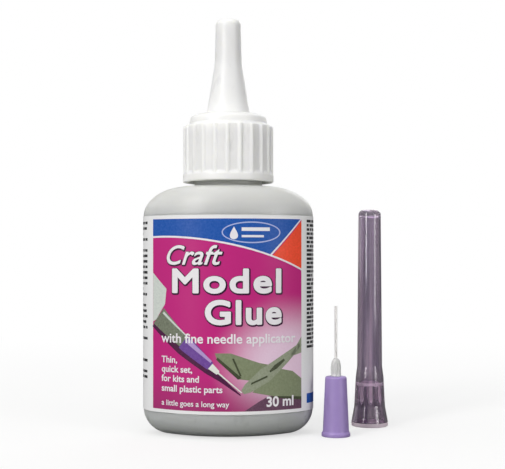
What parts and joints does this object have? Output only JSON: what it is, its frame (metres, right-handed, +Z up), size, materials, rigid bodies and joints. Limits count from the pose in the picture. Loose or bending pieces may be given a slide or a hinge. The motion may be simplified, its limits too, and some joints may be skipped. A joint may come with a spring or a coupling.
{
  "type": "glue applicator bottle",
  "caption": "Flattened-oval glue squeeze bottle with a ribbed chimney screw cap over a dropper spout, with a luer needle tip and its clear sheath standing beside it.",
  "frame": {"origin": "middle of the bottle's base, on the surface that it stands on", "axes": "+Z up along the bottle and its cap, -Y out of the label's front, +X towards the needle and its sheath"},
  "size_m": [0.0579, 0.0265, 0.0954],
  "materials": {
    "bottle_plastic": "satin",
    "label_film": "gloss",
    "glue_liquid": "gloss",
    "nozzle_plastic": "satin",
    "cap_plastic": "satin",
    "liner_foam": "matte",
    "hub_plastic": "satin",
    "nose_resin": "gloss",
    "needle_steel": "satin",
    "sheath_plastic": "gloss"
  },
  "bodies": {
    "filled_bottle": {"bottle": "bottle_plastic", "label": "label_film", "glue": "glue_liquid", "nozzle": "nozzle_plastic"},
    "cap_seal": {"cap_liner": "liner_foam"},
    "screw_cap": {"cap": "cap_plastic"},
    "needle": {"needle_hub": "hub_plastic", "needle_nose": "nose_resin", "needle_tube": "needle_steel"},
    "sheath": {"needle_sheath": "sheath_plastic"}
  },
  "joints": [
    {"name": "cap_rise", "type": "slide", "parent": "filled_bottle", "child": "cap_seal", "axis": [0, 0, 1], "range_m": [0, 0.035]},
    {"name": "cap_turn", "type": "hinge", "parent": "cap_seal", "child": "screw_cap", "pos_m": [0, 0, 0.0577], "axis": [0, 0, 1], "range_deg": [0, 3960]},
    {"name": "needle_lift", "type": "slide", "parent": "filled_bottle", "child": "needle", "axis": [0, 0, 1], "range_m": [0, 0.04]},
    {"name": "sheath_lift", "type": "slide", "parent": "filled_bottle", "child": "sheath", "axis": [0, 0, 1], "range_m": [0, 0.06]}
  ],
  "couplings": [
    {"joint": "cap_rise", "follows": "cap_turn", "m_per_rad": 0.00050532}
  ]
}
